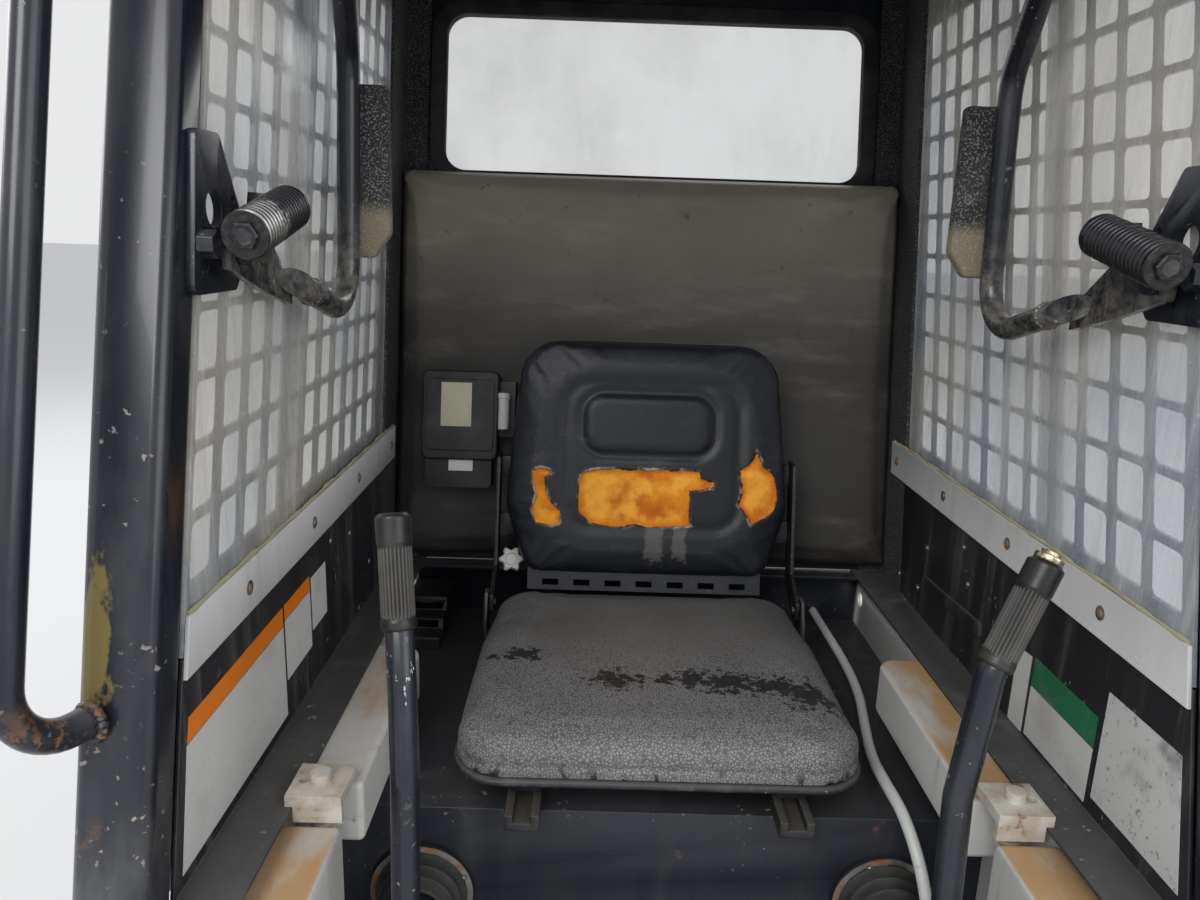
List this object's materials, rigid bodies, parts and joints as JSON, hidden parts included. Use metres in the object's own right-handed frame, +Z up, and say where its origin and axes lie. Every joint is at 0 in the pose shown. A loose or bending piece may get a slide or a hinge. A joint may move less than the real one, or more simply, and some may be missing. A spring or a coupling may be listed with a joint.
{
  "type": "skid steer loader cab",
  "caption": "Open-fronted operator's cab of a small loader: folding seat, raised safety bar, two drive levers, screened sides.",
  "frame": {"origin": "on the ground, in the middle of the outline seen from above", "axes": "+X to the right seen from the open front, +Y to the rear, +Z up"},
  "size_m": [1.0426, 1.254, 1.51],
  "materials": {
    "black_paint": "gloss with chips and rust",
    "speckled_foam": "speckled dark foam lining",
    "white_strip": "satin, stained",
    "clear_pane": "scratched and hazy",
    "dark_panel": "matt and dusty",
    "white_frame": "satin, worn and rusty",
    "rusty_steel": "rusty",
    "spring_black": "satin",
    "armrest_pad": "speckled",
    "boot_rubber": "matt",
    "grip_rubber": "ribbed",
    "button_brass": "worn",
    "window_glass": "dusty",
    "pad_vinyl": "worn",
    "seat_vinyl": "pebbled, worn",
    "back_vinyl": "torn",
    "box_plastic": "satin",
    "knob_plastic": "worn",
    "clear_hose": "milky, translucent"
  },
  "bodies": {
    "cab": {"pillar_left": "black_paint", "pillar_right": "black_paint", "side_screen_left": "black_paint", "side_screen_right": "black_paint", "grab_handle_left": "black_paint", "grab_handle_right": "black_paint", "bar_bracket_left": "black_paint", "bar_bracket_right": "black_paint", "front_header": "black_paint", "roof_panel": "black_paint", "rear_wall": "black_paint", "rear_post_left": "speckled_foam", "rear_post_right": "speckled_foam", "headliner": "speckled_foam", "retainer_strip_left": "white_strip", "retainer_strip_right": "white_strip", "pane_front_left": "clear_pane", "pane_front_right": "clear_pane", "pane_rear_left": "clear_pane", "pane_rear_right": "clear_pane", "side_lining_left": "dark_panel", "side_lining_right": "dark_panel", "side_box": "dark_panel", "seat_pan": "dark_panel", "floor_plate": "dark_panel", "rear_cross_plate": "dark_panel", "tub_wall_left": "white_frame", "tub_wall_right": "white_frame", "frame_rail_left": "white_frame", "frame_rail_right": "white_frame", "front_upright_left": "white_frame", "front_upright_right": "white_frame", "hold_down_left": "rusty_steel", "hold_down_right": "rusty_steel", "seat_runner_left": "rusty_steel", "seat_runner_right": "rusty_steel", "lever_pivot_left": "rusty_steel", "lever_pivot_right": "rusty_steel", "boot_left": "boot_rubber", "boot_right": "boot_rubber", "rear_seal": "boot_rubber", "rear_glass": "window_glass", "back_pad": "pad_vinyl", "relay_box": "box_plastic", "hose": "clear_hose"},
    "seat": {"seat_base": "dark_panel", "seat_cushion": "seat_vinyl"},
    "backrest": {"backrest_frame": "dark_panel", "backrest_cushion": "back_vinyl", "recline_knob": "knob_plastic"},
    "bar": {"seat_bar": "black_paint", "armrest_left": "armrest_pad", "armrest_right": "armrest_pad", "bar_spring_left": "spring_black", "bar_spring_right": "spring_black"},
    "left_lever": {"lever_left": "black_paint", "grip_left": "grip_rubber"},
    "right_lever": {"lever_right": "black_paint", "grip_right": "grip_rubber", "lever_button": "button_brass"}
  },
  "joints": [
    {"name": "seat_slide", "type": "slide", "parent": "cab", "child": "seat", "axis": [0, 1, 0], "range_m": [-0.06, 0.03]},
    {"name": "backrest_fold", "type": "hinge", "parent": "seat", "child": "backrest", "pos_m": [0, 0.205, 0.5], "axis": [1, 0, 0], "range_deg": [-3, 60]},
    {"name": "bar_swing", "type": "hinge", "parent": "cab", "child": "bar", "pos_m": [0, -0.28497, 1.04], "axis": [1, 0, 0], "range_deg": [-98, 0]},
    {"name": "left_drive", "type": "hinge", "parent": "cab", "child": "left_lever", "pos_m": [-0.276, -0.143, 0.295], "axis": [1, 0, 0], "range_deg": [-8, 8], "stiffness_Nm_per_rad": 120},
    {"name": "right_drive", "type": "hinge", "parent": "cab", "child": "right_lever", "pos_m": [0.276, -0.143, 0.295], "axis": [1, 0, 0], "range_deg": [-8, 8], "stiffness_Nm_per_rad": 120}
  ]
}
